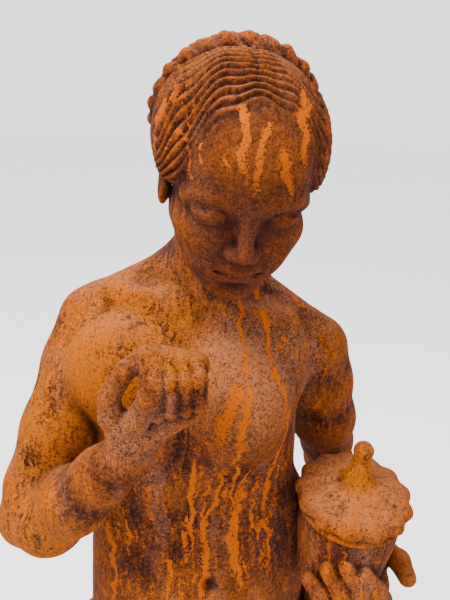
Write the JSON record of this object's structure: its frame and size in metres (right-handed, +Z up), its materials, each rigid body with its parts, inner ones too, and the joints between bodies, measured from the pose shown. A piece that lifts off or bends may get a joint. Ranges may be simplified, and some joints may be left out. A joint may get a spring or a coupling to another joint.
{
  "type": "garden statue",
  "caption": "Standing draped female figure with bowed head, one hand closed at the breast and one holding a lidded jar at the hip, on a low round base.",
  "frame": {"origin": "centre of the base's underside", "axes": "+Z up, the statue faces -Y, +X is the figure's left"},
  "size_m": [0.4501, 0.4, 1.4437],
  "materials": {
    "rusted_cast_iron": "rough rust, purple brown with bright orange runs"
  },
  "bodies": {
    "root": {"figure": "rusted_cast_iron", "base": "rusted_cast_iron"}
  },
  "joints": []
}
